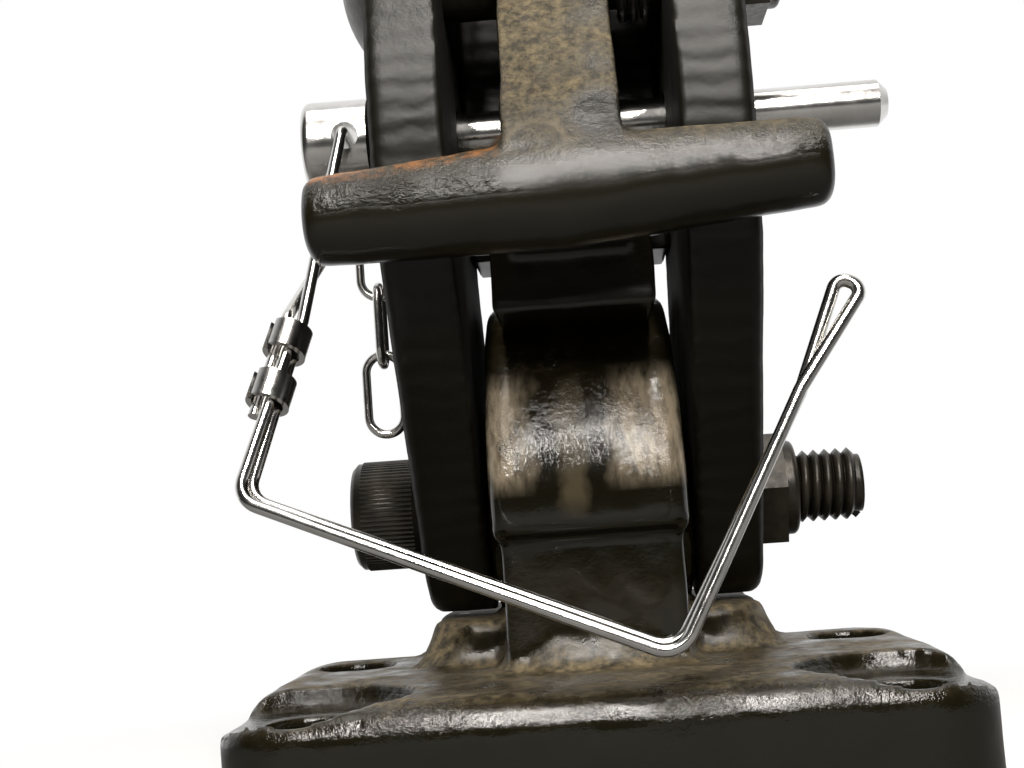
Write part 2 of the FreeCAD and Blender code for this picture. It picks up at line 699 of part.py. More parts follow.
if __name__ == "__main__":
    os.makedirs("parts", exist_ok=True)
    right_cheek = jaw_cheek()
    nodes = {
        "hitch_body": hitch_body(),
        "jaw_cheek_left": right_cheek.mirror(V(0, 0, 0), V(1, 0, 0)),
        "jaw_cheek_right": right_cheek,
        "jaw_hook": jaw_hook(),
        "pivot_bolt": pivot_bolt(),
        "latch_pivot_bolt": latch_pivot_bolt(),
        "latch_lever": latch_lever(),
        "latch_spring": latch_spring(),
        "lock_pin": lock_pin(),
        "bail_wire": bail_wire(),
        "bail_ferrule_upper": bail_ferrule(-ferrule_length / 2),
        "bail_ferrule_lower": bail_ferrule(ferrule_spacing - ferrule_length / 2),
        "chain_end_link": chain_end_link(),
        "chain_links": chain_links(),
    }
    nodes["pivot_nut"], nodes["pivot_nut_insert"] = lock_nut(pivot, pivot_diameter, cheek_outer_x)
    latch_nut, latch_insert = lock_nut(latch_pivot, latch_pivot_diameter, cheek_outer_x)
    nodes["latch_pivot_nut"] = latch_nut
    nodes["latch_nut_insert"] = latch_insert
    for name, shape in nodes.items():
        print(name, shape.isValid(), len(shape.Solids), round(shape.Volume))
        shape.exportStep("parts/" + name + ".step")
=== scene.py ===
import math

import bmesh
import bpy
import numpy as np
from mathutils import Matrix, Vector


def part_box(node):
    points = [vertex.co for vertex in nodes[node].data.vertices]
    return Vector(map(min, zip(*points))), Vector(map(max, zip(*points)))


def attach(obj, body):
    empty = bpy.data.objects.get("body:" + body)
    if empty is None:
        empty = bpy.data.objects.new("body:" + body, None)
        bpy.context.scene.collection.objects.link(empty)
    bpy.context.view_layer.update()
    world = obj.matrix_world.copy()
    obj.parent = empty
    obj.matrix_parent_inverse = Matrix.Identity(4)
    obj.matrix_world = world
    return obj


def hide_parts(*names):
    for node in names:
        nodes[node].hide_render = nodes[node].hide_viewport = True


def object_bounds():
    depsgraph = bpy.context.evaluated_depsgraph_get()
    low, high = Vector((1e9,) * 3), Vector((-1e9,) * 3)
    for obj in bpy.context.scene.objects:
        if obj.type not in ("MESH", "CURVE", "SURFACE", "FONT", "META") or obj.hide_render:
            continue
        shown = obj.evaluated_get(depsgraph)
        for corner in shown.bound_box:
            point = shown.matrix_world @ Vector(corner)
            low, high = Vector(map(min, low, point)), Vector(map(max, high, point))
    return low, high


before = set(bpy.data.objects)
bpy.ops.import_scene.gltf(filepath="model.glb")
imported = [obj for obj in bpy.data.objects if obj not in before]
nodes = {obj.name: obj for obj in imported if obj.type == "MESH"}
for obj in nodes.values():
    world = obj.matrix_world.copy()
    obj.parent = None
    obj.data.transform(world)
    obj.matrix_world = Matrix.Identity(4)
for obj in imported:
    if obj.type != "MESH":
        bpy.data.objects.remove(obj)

# Mounting flange, neck, pivot lug, horn and ball: one steel forging.
# Its skin is a little lumpy from the die and carries thick black paint,
# with brown dust dried on the flange's top and in a run down the lug.
scene = bpy.context.scene
cad_low, cad_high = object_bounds()
forging_voxel = 0.00095
forging_smoothing_rounds = 4
forging_lump_height = 0.00022
forging_lump_scale = 300.0
flange_dust_z = 0.018
saddle_dust_z = 0.022
clean_above_z = 0.031
clean_from_z = 0.036
flange_dust_share = 0.06
saddle_dust = 3.3
lug_dust = 0.25
run_x = -0.002
run_half_width = 0.0028
run_core_share = 0.4
run_waver = 0.006
run_low_z = 0.042
run_high_z = 0.062
run_colour = (0.062, 0.05, 0.03, 1)
# Painted highlight: pale streaky colour on the lug's front, to both sides of the run, stands in for the
# lamps' reflections there; it is laid out as paint worn by rubbing.
rub_highlight_inner_x = 0.005
rub_highlight_low_z = 0.046
rub_highlight_high_z = 0.063
rub_highlight_colour = (0.27, 0.222, 0.155, 1)
highlight_streak_stretch = (1.0, 0.3, 0.3)
lug_front_y = 0.0
mark_fade = 0.004


def merged_copy(node_name, piece_name):
    """Plain copy of a CAD node's mesh with its loose triangles joined."""
    merge_distance = 1e-6
    mesh = nodes[node_name].data.copy()
    mesh.materials.clear()
    bm = bmesh.new()
    bm.from_mesh(mesh)
    bmesh.ops.remove_doubles(bm, verts=bm.verts, dist=merge_distance)
    bm.to_mesh(mesh)
    bm.free()
    piece = bpy.data.objects.new(piece_name, mesh)
    scene.collection.objects.link(piece)
    return piece


def bake_modifiers(piece):
    """Turns a piece's live modifiers into its plain mesh."""
    depsgraph = bpy.context.evaluated_depsgraph_get()
    baked = bpy.data.meshes.new_from_object(piece.evaluated_get(depsgraph))
    piece.modifiers.clear()
    piece.data = baked


def smooth_skin(piece, voxel, rounds):
    """Remeshes a forged or cut piece evenly and softens its corners."""
    remesh = piece.modifiers.new("even_skin", "REMESH")
    remesh.mode = "VOXEL"
    remesh.voxel_size = voxel
    soften = piece.modifiers.new("soft_corners", "SMOOTH")
    soften.factor = 0.5
    soften.iterations = rounds
    bake_modifiers(piece)
    piece.data.shade_smooth()


def lump_noise(points, scale, seed):
    """Smooth noise from a few turned sine waves, one value of -1 to 1 for each point."""
    octaves = 3
    waves_per_octave = 6
    finer_by = 1.7
    weaker_by = 1.6
    wave_spread = (0.6, 1.4)
    rng = np.random.default_rng(seed)
    total = np.zeros(len(points))
    for octave in range(octaves):
        for _ in range(waves_per_octave):
            direction = rng.normal(size=3)
            direction /= np.linalg.norm(direction)
            wave = scale * finer_by ** octave * rng.uniform(*wave_spread)
            phase = rng.uniform(0, 2 * math.pi)
            total += np.sin(points @ direction * wave + phase) / weaker_by ** octave
    return total / np.abs(total).max()


def mesh_points(mesh, key):
    """One vector for each vertex: its place or its normal."""
    values = np.zeros(len(mesh.vertices) * 3)
    mesh.vertices.foreach_get(key, values)
    return values.reshape(-1, 3)


def roughen(piece, height, scale, seed):
    """Makes the skin lumpy, more inwards than outwards, and keeps it inside the CAD box."""
    inward_shift = 0.5
    co = mesh_points(piece.data, "co")
    normal = mesh_points(piece.data, "normal")
    co += normal * (height * (lump_noise(co, scale, seed) - inward_shift))[:, None]
    co = np.clip(co, np.array(cad_low), np.array(cad_high))
    piece.data.vertices.foreach_set("co", co.ravel())
    piece.data.update()


def make_node(tree, kind, operation=None, **values):
    """Adds a node; values set its inputs, underscores standing for spaces."""
    node = tree.nodes.new(kind)
    if operation:
        node.operation = operation
    for name, value in values.items():
        node.inputs[name.replace("_", " ")].default_value = value
    return node


def feed(tree, socket, term):
    """Links a socket to another node's output, or sets it to a plain value."""
    if isinstance(term, bpy.types.NodeSocket):
        tree.links.new(term, socket)
    else:
        socket.default_value = term


def ramp(tree, value, start, end, low=0.0, high=1.0):
    """Goes from low to high while the value goes from start to end."""
    node = make_node(tree, "ShaderNodeMapRange", From_Min=start, From_Max=end, To_Min=low, To_Max=high)
    tree.links.new(value, node.inputs["Value"])
    return node.outputs["Result"]


def combine(tree, operation, *terms, clamp=False):
    """Result of one Math node; a term is a number or another node's output."""
    node = make_node(tree, "ShaderNodeMath", operation)
    node.use_clamp = clamp
    for socket, term in zip(node.inputs, terms):
        feed(tree, socket, term)
    return node.outputs["Value"]


def product(tree, mask, *others):
    """Masks multiplied together."""
    for other in others:
        mask = combine(tree, "MULTIPLY", mask, other)
    return mask


def noise(tree, place, scale, detail, roughness=0.5):
    """Cloudy pattern; the scale is a number or another node's output."""
    node = make_node(tree, "ShaderNodeTexNoise", Detail=detail, Roughness=roughness)
    tree.links.new(place, node.inputs["Vector"])
    feed(tree, node.inputs["Scale"], scale)
    return node.outputs["Fac"]


def blend(tree, mask, under, over):
    """Lays one colour over another; a Mix node keeps its colours at sockets 6, 7 and 2."""
    node = tree.nodes.new("ShaderNodeMix")
    node.data_type = "RGBA"
    feed(tree, node.inputs["Factor"], mask)
    feed(tree, node.inputs[6], under)
    feed(tree, node.inputs[7], over)
    return node.outputs[2]


def axes_of(tree, vector):
    """X, Y and Z of a vector, each an output under its own name."""
    node = tree.nodes.new("ShaderNodeSeparateXYZ")
    tree.links.new(vector, node.inputs["Vector"])
    return node.outputs


def add_group_sockets(tree, direction, kind, *names):
    for name in names:
        tree.interface.new_socket(name=name, in_out=direction, socket_type=kind)


def weathered_paint_group():
    """Black paint: dust on faces that look up, torch lines on faces that look forward, wrinkles."""
    tree = bpy.data.node_groups.new("weathered_paint", "ShaderNodeTree")
    add_group_sockets(tree, "INPUT", "NodeSocketColor", "Paint", "Dust")
    add_group_sockets(tree, "INPUT", "NodeSocketFloat", "Dust amount", "Patch scale", "Grain scale",
                      "Gloss roughness", "Cut lines", "Side dullness")
    add_group_sockets(tree, "OUTPUT", "NodeSocketColor", "Color")
    add_group_sockets(tree, "OUTPUT", "NodeSocketFloat", "Roughness", "Height")
    given = tree.nodes.new("NodeGroupInput").outputs
    out = tree.nodes.new("NodeGroupOutput").inputs
    coordinates = tree.nodes.new("ShaderNodeTexCoord").outputs
    place = coordinates["Object"]
    facing = axes_of(tree, coordinates["Normal"])

    patches = noise(tree, place, given["Patch scale"], detail=6.0, roughness=0.65)
    patch = ramp(tree, patches, start=0.3, end=0.75)
    upward = ramp(tree, facing["Z"], start=0.1, end=0.9, low=0.03, high=1.5)
    lying = combine(tree, "MULTIPLY", patch, upward)
    thick = combine(tree, "MULTIPLY", lying, given["Dust amount"], clamp=True)
    grain = noise(tree, place, given["Grain scale"], detail=4.0, roughness=0.7)
    speckle = ramp(tree, grain, start=0.38, end=0.64, low=0.15, high=1.0)
    dust = combine(tree, "MULTIPLY", thick, speckle)
    tree.links.new(blend(tree, dust, given["Paint"], given["Dust"]), out["Color"])

    dust_dullness = 0.6
    dusty = combine(tree, "MULTIPLY_ADD", thick, dust_dullness, given["Gloss roughness"])
    sideways = ramp(tree, combine(tree, "ABSOLUTE", facing["X"]), start=0.7, end=0.95)
    rolled = combine(tree, "MULTIPLY_ADD", sideways, given["Side dullness"], dusty)
    tree.links.new(rolled, out["Roughness"])

    lines = make_node(tree, "ShaderNodeTexWave", Scale=90.0, Distortion=2.5, Detail=3.0, Detail_Scale=2.0)
    lines.bands_direction = "Z"
    tree.links.new(place, lines.inputs["Vector"])
    forward = ramp(tree, facing["Y"], start=-0.5, end=-0.9)
    cut_height = product(tree, lines.outputs["Fac"], forward, given["Cut lines"])
    areas = noise(tree, place, scale=55.0, detail=2.0)
    wrinkled = ramp(tree, areas, start=0.45, end=0.62, low=0.25, high=1.0)
    open_faces = ramp(tree, facing["Z"], start=0.0, end=0.3, low=0.12, high=1.0)
    grain_height = product(tree, wrinkled, open_faces, grain)
    tree.links.new(combine(tree, "ADD", grain_height, cut_height), out["Height"])
    return tree


weathered_paint = weathered_paint_group()


def new_material(name):
    """Empty material with its node tree and its main shader."""
    material = bpy.data.materials.new(name)
    material.use_nodes = True
    return material, material.node_tree, material.node_tree.nodes["Principled BSDF"]


def paint_material(name, paint, dust, patch_scale, grain_scale, gloss, bump, specular,
                   dust_amount=0.0, cut_lines=0.0, side_dullness=0.0):
    """Painted steel that takes its dust, cut lines and wrinkles from the shared group."""
    material, tree, shader = new_material(name)
    shader.inputs["Specular IOR Level"].default_value = specular
    effect = tree.nodes.new("ShaderNodeGroup")
    effect.name = "paint_effect"
    effect.node_tree = weathered_paint
    settings = {
        "Paint": (*paint, 1), "Dust": (*dust, 1), "Dust amount": dust_amount,
        "Patch scale": patch_scale, "Grain scale": grain_scale, "Gloss roughness": gloss,
        "Cut lines": cut_lines, "Side dullness": side_dullness}
    for label, value in settings.items():
        effect.inputs[label].default_value = value
    raised = make_node(tree, "ShaderNodeBump", Strength=1.0, Distance=bump)
    tree.links.new(effect.outputs["Color"], shader.inputs["Base Color"])
    tree.links.new(effect.outputs["Roughness"], shader.inputs["Roughness"])
    tree.links.new(effect.outputs["Height"], raised.inputs["Height"])
    tree.links.new(raised.outputs["Normal"], shader.inputs["Normal"])
    return material


def forging_material():
    """Forging paint: dust thick by the flange, a dried run on the lug, and beside the run two pale
    streaky patches of painted highlight where the lamps' reflections show on the lug's front, laid out as
    paint worn by rubbing.
    """
    material = paint_material(
        "forging_paint", paint=(0.006, 0.005, 0.002), dust=(0.165, 0.126, 0.066),
        patch_scale=110.0, grain_scale=600.0, gloss=0.1, bump=0.0005, specular=0.55)
    tree = material.node_tree
    effect = tree.nodes["paint_effect"]
    place = tree.nodes.new("ShaderNodeTexCoord").outputs["Object"]
    at = axes_of(tree, place)
    settled = ramp(tree, at["Z"], clean_above_z, clean_from_z, saddle_dust, lug_dust)
    trodden = ramp(tree, at["Z"], flange_dust_z, saddle_dust_z, flange_dust_share, 1.0)
    tree.links.new(combine(tree, "MULTIPLY", settled, trodden), effect.inputs["Dust amount"])

    ragged = noise(tree, place, scale=160.0, detail=4.0)
    wavering_x = combine(tree, "MULTIPLY_ADD", ragged, run_waver, at["X"])
    from_middle = combine(tree, "SUBTRACT", wavering_x, run_x + run_waver / 2)
    aside = combine(tree, "ABSOLUTE", from_middle)
    front = ramp(tree, at["Y"], lug_front_y, lug_front_y - mark_fade)

    def band(low_z, high_z):
        """Mask between two heights, faded at both."""
        above = ramp(tree, at["Z"], low_z, low_z + mark_fade)
        below = ramp(tree, at["Z"], high_z + mark_fade, high_z)
        return combine(tree, "MULTIPLY", above, below)

    in_run = ramp(tree, aside, run_half_width, run_half_width * run_core_share)
    run = product(tree, in_run, band(run_low_z, run_high_z), front)
    with_run = blend(tree, run, effect.outputs["Color"], run_colour)
    # Painted highlight on the lug's front beside the run: pale streaks where the lamps' reflections show,
    # laid out as paint worn by rubbing.
    drawn_out = make_node(tree, "ShaderNodeVectorMath", "MULTIPLY")
    feed(tree, drawn_out.inputs[0], place)
    feed(tree, drawn_out.inputs[1], highlight_streak_stretch)
    highlight_streaks = noise(tree, drawn_out.outputs["Vector"], scale=700.0, detail=3.0, roughness=0.6)
    streaked_highlight = ramp(tree, highlight_streaks, start=0.25, end=0.6)
    outward = ramp(tree, aside, rub_highlight_inner_x, rub_highlight_inner_x + mark_fade)
    rub_highlight_mask = product(tree, outward, band(rub_highlight_low_z, rub_highlight_high_z), front, streaked_highlight)
    shader = tree.nodes["Principled BSDF"]
    tree.links.new(blend(tree, rub_highlight_mask, with_run, rub_highlight_colour), shader.inputs["Base Color"])
    return material


def dress(piece, material, body, slot, *replaced):
    """Gives a made piece its finish, its body and the CAD nodes it stands for."""
    piece.data.materials.clear()
    piece.data.materials.append(material)
    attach(piece, body)
    if replaced:
        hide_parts(*replaced)


forging = merged_copy("hitch_body", "forging")
smooth_skin(forging, forging_voxel, forging_smoothing_rounds)
roughen(forging, forging_lump_height, forging_lump_scale, seed=3)
dress(forging, forging_material(), "base", "body_paint", "hitch_body")

# Upper jaw: two flame cut plates with a hook welded between them, painted
# black all over. The plates' edges keep the lines that the torch left.
plate_voxel = 0.0008
plate_smoothing_rounds = 3
plate_lump_height = 0.00012
plate_lump_scale = 500.0
first_plate_seed = 20
jaw_pieces = {"jaw_cheek_left": "left_plate", "jaw_cheek_right": "right_plate", "jaw_hook": "hook"}
plate_paint = paint_material(
    "plate_paint", paint=(0.0055, 0.0048, 0.0025), dust=(0.03, 0.023, 0.013), dust_amount=0.3,
    patch_scale=60.0, grain_scale=650.0, gloss=0.38, bump=0.0003, specular=0.3,
    cut_lines=0.25, side_dullness=0.35)
for seed, (node_name, piece_name) in enumerate(jaw_pieces.items(), first_plate_seed):
    plate = merged_copy(node_name, piece_name)
    smooth_skin(plate, plate_voxel, plate_smoothing_rounds)
    roughen(plate, plate_lump_height, plate_lump_scale, seed)
    dress(plate, plate_paint, "jaw", "jaw_paint", node_name)

# Latch lever: a forged T handle that hangs from its own pivot between the
# plates. Its stem is dusty, and an orange painted highlight lies on the
# handle's upper edges where light catches them.
handle_voxel = 0.0006
handle_smoothing_rounds = 6
handle_lump_height = 0.0002
handle_lump_scale = 420.0
handle_front_y = -0.035
stem_dust_from_z = 0.090
stem_dust_full_z = 0.104
bar_dust = 0.1
stem_dust = 2.4
grease_centre = (0.0056, 0, 0.0994)
grease_radius = 0.0062
grease_core_share = 0.5
witness_centre = (-0.0037, 0, 0.0949)
witness_radius = 0.0041
witness_width = 0.0007
witness_core_share = 0.3
witness_strength = 0.5
witness_colour = (0.11, 0.085, 0.05, 1)
# Painted highlight: orange on the bar's upward faces, full on its left and fading out towards the right,
# stands in for light catching the bar's top edge.
edge_highlight_from_x = 0.004
edge_highlight_full_x = -0.006
edge_highlight_colour = (0.22, 0.085, 0.018, 1)


def handle_material():
    """Lever paint: dusty stem with a greasy spot and a worn witness ring, and an orange painted highlight
    on the bar's upper edges where light catches them.
    """
    material = paint_material(
        "handle_paint", paint=(0.0075, 0.0062, 0.003), dust=(0.125, 0.098, 0.053),
        patch_scale=50.0, grain_scale=700.0, gloss=0.22, bump=0.0009, specular=0.45)
    tree = material.node_tree
    effect = tree.nodes["paint_effect"]
    coordinates = tree.nodes.new("ShaderNodeTexCoord").outputs
    place = coordinates["Object"]
    at = axes_of(tree, place)
    facing = axes_of(tree, coordinates["Normal"])

    def distance_from(centre):
        """Distance from a point on the front face, seen along Y."""
        offset = make_node(tree, "ShaderNodeVectorMath", "SUBTRACT")
        feed(tree, offset.inputs[0], place)
        feed(tree, offset.inputs[1], centre)
        flat = make_node(tree, "ShaderNodeVectorMath", "MULTIPLY")
        feed(tree, flat.inputs[0], offset.outputs["Vector"])
        feed(tree, flat.inputs[1], (1, 0, 1))
        length = make_node(tree, "ShaderNodeVectorMath", "LENGTH")
        feed(tree, length.inputs[0], flat.outputs["Vector"])
        return length.outputs["Value"]

    climb = ramp(tree, at["Z"], stem_dust_from_z, stem_dust_full_z, bar_dust, stem_dust)
    dry = ramp(tree, distance_from(grease_centre), grease_radius * grease_core_share, grease_radius)
    tree.links.new(combine(tree, "MULTIPLY", climb, dry), effect.inputs["Dust amount"])

    # Painted highlight: orange on the bar's upward faces where light from above catches its top edge.
    edge = ramp(tree, facing["Z"], start=0.55, end=0.85)
    leftward = ramp(tree, at["X"], edge_highlight_from_x, edge_highlight_full_x)
    spots = noise(tree, place, scale=260.0, detail=5.0, roughness=0.7)
    broken = ramp(tree, spots, start=0.45, end=0.6)
    edge_highlight_mask = product(tree, edge, leftward, broken)
    with_edge_highlight = blend(tree, edge_highlight_mask, effect.outputs["Color"], edge_highlight_colour)

    off_ring = combine(tree, "SUBTRACT", distance_from(witness_centre), witness_radius)
    ring = ramp(tree, combine(tree, "ABSOLUTE", off_ring),
                witness_width, witness_width * witness_core_share, high=witness_strength)
    front = ramp(tree, at["Y"], handle_front_y, handle_front_y - witness_width)
    witness_z = witness_centre[2]
    upper_half = ramp(tree, at["Z"], witness_z - witness_radius / 2, witness_z + witness_radius / 2)
    witness = product(tree, ring, front, upper_half)
    shader = tree.nodes["Principled BSDF"]
    tree.links.new(blend(tree, witness, with_edge_highlight, witness_colour), shader.inputs["Base Color"])
    return material


handle = merged_copy("latch_lever", "t_handle")
smooth_skin(handle, handle_voxel, handle_smoothing_rounds)
roughen(handle, handle_lump_height, handle_lump_scale, seed=8)
dress(handle, handle_material(), "lever", "lever_paint", "latch_lever")

# Pivot screw: a socket head cap screw in black oxide, its head knurled and
# its rolled thread running out past the nut. The jaw turns on its shank.
shank_radius = 0.00635
thread_pitch = 0.001954
thread_half_depth = 0.0009
thread_root_fill = 0.6
waist_radius = shank_radius - 2 * thread_half_depth + thread_half_depth * thread_root_fill
knurl_count = 72
knurl_depth = 0.00025
knurl_margin = 0.0018
knurl_fill = 0.75


def handled_material(name, colour, worn_colour, roughness, metallic, bump, grain_scale):
    """Plain finish with cloudy patches of wear and faint handling marks."""
    cloud_size_in_grains = 5
    smoothest, roughest = 0.6 * roughness, 1.5 * roughness
    material, tree, shader = new_material(name)
    shader.inputs["Metallic"].default_value = metallic
    place = tree.nodes.new("ShaderNodeTexCoord").outputs["Object"]
    clouds = noise(tree, place, grain_scale / cloud_size_in_grains, detail=5.0, roughness=0.7)
    worn = ramp(tree, clouds, start=0.4, end=0.7)
    tint = blend(tree, worn, (*colour, 1), (*worn_colour, 1))
    tree.links.new(tint, shader.inputs["Base Color"])
    marks = noise(tree, place, grain_scale, detail=3.0)
    spread = ramp(tree, marks, start=0.0, end=1.0, low=smoothest, high=roughest)
    tree.links.new(spread, shader.inputs["Roughness"])
    raised = make_node(tree, "ShaderNodeBump", Distance=bump)
    tree.links.new(marks, raised.inputs["Height"])
    tree.links.new(raised.outputs["Normal"], shader.inputs["Normal"])
    return material


def geometry_tree(name, sizes, counts=()):
    """Empty Geometry Nodes tree with named inputs and one mesh output."""
    tree = bpy.data.node_groups.new(name, "GeometryNodeTree")
    add_group_sockets(tree, "INPUT", "NodeSocketFloat", *sizes)
    add_group_sockets(tree, "INPUT", "NodeSocketInt", *counts)
    add_group_sockets(tree, "OUTPUT", "NodeSocketGeometry", "Mesh")
    return tree, tree.nodes.new("NodeGroupInput").outputs, tree.nodes.new("NodeGroupOutput")


def finish_tree(tree, geometry, out, material):
    """Realizes the instances, sets the material and closes the tree."""
    realize = tree.nodes.new("GeometryNodeRealizeInstances")
    finish = make_node(tree, "GeometryNodeSetMaterial", Material=material)
    tree.links.new(geometry, realize.inputs["Geometry"])
    tree.links.new(realize.outputs["Geometry"], finish.inputs["Geometry"])
    tree.links.new(finish.outputs["Geometry"], out.inputs["Mesh"])


def piece_from_tree(tree, name, values, matrix):
    """Evaluates a tree to a plain mesh and sets it in place in its vertices."""
    piece = bpy.data.objects.new(name, bpy.data.meshes.new(name))
    scene.collection.objects.link(piece)
    modifier = piece.modifiers.new("build", "NODES")
    modifier.node_group = tree
    for item in tree.interface.items_tree:
        if item.in_out == "INPUT":
            modifier[item.identifier] = values[item.name]
    bake_modifiers(piece)
    piece.data.transform(matrix)
    return piece


def thread_tree(material):
    """Helical ridge about Z: a spiral swept with a four sided section."""
    tree, given, out = geometry_tree("rolled_thread", ("Turns", "Radius", "Height", "Half depth"))
    link = tree.links.new
    spiral = make_node(tree, "GeometryNodeCurveSpiral", Resolution=48)
    link(given["Turns"], spiral.inputs["Rotations"])
    link(given["Radius"], spiral.inputs["Start Radius"])
    link(given["Radius"], spiral.inputs["End Radius"])
    link(given["Height"], spiral.inputs["Height"])
    upright = tree.nodes.new("GeometryNodeSetCurveNormal")
    upright.mode = "Z_UP"
    link(spiral.outputs["Curve"], upright.inputs["Curve"])
    section = make_node(tree, "GeometryNodeCurvePrimitiveCircle", Resolution=4)
    link(given["Half depth"], section.inputs["Radius"])
    sweep = make_node(tree, "GeometryNodeCurveToMesh", Fill_Caps=True)
    link(upright.outputs["Curve"], sweep.inputs["Curve"])
    link(section.outputs["Curve"], sweep.inputs["Profile Curve"])
    finish_tree(tree, sweep.outputs["Mesh"], out, material)
    return tree


def knurl_tree(material):
    """Ring of straight ridges about Z, as a knurling tool leaves on a screw's head."""
    tree, given, out = geometry_tree("knurled_band", ("Radius", "Length", "Ridge radius"), ("Count",))
    link = tree.links.new
    ring = tree.nodes.new("GeometryNodeMeshCircle")
    link(given["Count"], ring.inputs["Vertices"])
    link(given["Radius"], ring.inputs["Radius"])
    ridge = make_node(tree, "GeometryNodeMeshCylinder", Vertices=6)
    link(given["Ridge radius"], ridge.inputs["Radius"])
    link(given["Length"], ridge.inputs["Depth"])
    stand = tree.nodes.new("GeometryNodeInstanceOnPoints")
    link(ring.outputs["Mesh"], stand.inputs["Points"])
    link(ridge.outputs["Mesh"], stand.inputs["Instance"])
    finish_tree(tree, stand.outputs["Instances"], out, material)
    return tree


def along_x(x, axis):
    """Turns +Z to +X and moves the origin to a place on a cross shaft."""
    return Matrix.Translation((x, axis.y, axis.z)) @ Matrix.Rotation(math.radians(90), 4, "Y")


def waisted_shank(node_name, piece_name, from_x, axis):
    """Copy of a bolt whose free thread is turned down, to be wound with a ridge."""
    step = 0.0001
    cut_tolerance = 1e-7
    sharp_angle = math.radians(30)
    piece = merged_copy(node_name, piece_name)
    bm = bmesh.new()
    bm.from_mesh(piece.data)
    for x in (from_x, from_x + step):
        bmesh.ops.bisect_plane(bm, geom=bm.verts[:] + bm.edges[:] + bm.faces[:], dist=cut_tolerance,
                               plane_co=(x, 0, 0), plane_no=(1, 0, 0))
    for vert in bm.verts:
        out = Vector((0, vert.co.y - axis.y, vert.co.z - axis.z))
        if vert.co.x > from_x + step / 2 and out.length > waist_radius:
            vert.co -= out * (1 - waist_radius / out.length)
    bm.to_mesh(piece.data)
    bm.free()
    piece.data.shade_smooth()
    piece.data.set_sharp_from_angle(angle=sharp_angle)
    return piece


def rolled_thread(name, tree, axis, from_x, to_x):
    """Thread ridge wound on a shank between two places along X."""
    length = to_x - from_x - 2 * thread_half_depth
    sizes = {"Turns": length / thread_pitch, "Radius": shank_radius - thread_half_depth,
             "Height": length, "Half depth": thread_half_depth}
    return piece_from_tree(tree, name, sizes, along_x(from_x + thread_half_depth, axis))


black_oxide = handled_material(
    "black_oxide", colour=(0.02, 0.0175, 0.013), worn_colour=(0.045, 0.037, 0.026), roughness=0.34,
    metallic=0.4, bump=0.00003, grain_scale=900.0)
rolled_thread_tree = thread_tree(black_oxide)
nut_low, nut_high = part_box("pivot_nut")
screw_low, screw_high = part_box("pivot_bolt")
pivot_axis = (nut_low + nut_high) / 2
screw = waisted_shank("pivot_bolt", "pivot_screw", nut_high.x, (screw_low + screw_high) / 2)
dress(screw, black_oxide, "base", "black_oxide", "pivot_bolt")
screw_thread = rolled_thread("pivot_thread", rolled_thread_tree, pivot_axis,
                             nut_high.x - thread_pitch, screw_high.x)
dress(screw_thread, black_oxide, "base", "black_oxide")
head_radius = (screw_high.z - screw_low.z) / 2
head_end_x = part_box("jaw_cheek_left")[0].x
knurl_length = head_end_x - screw_low.x - 2 * knurl_margin
knurl_ridge = math.pi * head_radius / knurl_count * knurl_fill
knurl_sizes = {"Count": knurl_count, "Radius": head_radius - knurl_ridge + knurl_depth,
               "Length": knurl_length, "Ridge radius": knurl_ridge}
knurl = piece_from_tree(knurl_tree(black_oxide), "head_knurl", knurl_sizes,
                        along_x(screw_low.x + knurl_margin + knurl_length / 2, pivot_axis))
dress(knurl, black_oxide, "base", "black_oxide")

# Latch pivot: a round headed bolt through both plates that the lever hangs
# on, and the lock nuts of both bolts with their nylon rings.
latch_nut_low, latch_nut_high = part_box("latch_pivot_nut")
latch_low, latch_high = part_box("latch_pivot_bolt")
latch_axis = (latch_nut_low + latch_nut_high) / 2
latch_bolt = waisted_shank("latch_pivot_bolt", "latch_bolt", latch_nut_high.x,
                           (latch_low + latch_high) / 2)
dress(latch_bolt, black_oxide, "jaw", "black_oxide", "latch_pivot_bolt")
latch_thread = rolled_thread("latch_thread", rolled_thread_tree, latch_axis,
                             latch_nut_high.x - thread_pitch, latch_high.x)
dress(latch_thread, black_oxide, "jaw", "black_oxide")
nylon = handled_material(
    "nylon", colour=(0.5, 0.49, 0.45), worn_colour=(0.34, 0.31, 0.25), roughness=0.5,
    metallic=0.0, bump=0.00002, grain_scale=1200.0)


def finish_nodes(material, *names):
    """Gives CAD nodes that are shown as they are their finish."""
    for name in names:
        nodes[name].data.materials.clear()
        nodes[name].data.materials.append(material)


finish_nodes(black_oxide, "pivot_nut", "latch_pivot_nut")
finish_nodes(nylon, "pivot_nut_insert", "latch_nut_insert")

# Latch spring: bare drawn steel wire, wound into a torsion spring that sits
# on the latch pivot beside the lever's eye and presses the lever shut.
spring_steel = handled_material(
    "spring_steel", colour=(0.3, 0.3, 0.31), worn_colour=(0.19, 0.17, 0.15), roughness=0.3,
    metallic=1.0, bump=0.00002, grain_scale=1500.0)
finish_nodes(spring_steel, "latch_spring")

# Lock pin, its wire bail with two crimped bands, and the retaining chain
# that hangs from the pin: drawn and turned steel, bright zinc plated.
bright_zinc = handled_material(
    "bright_zinc", colour=(0.74, 0.73, 0.71), worn_colour=(0.6, 0.585, 0.555), roughness=0.17,
    metallic=1.0, bump=0.00003, grain_scale=600.0)
finish_nodes(bright_zinc, "lock_pin", "bail_wire", "bail_ferrule_upper", "bail_ferrule_lower",
             "chain_end_link", "chain_links")

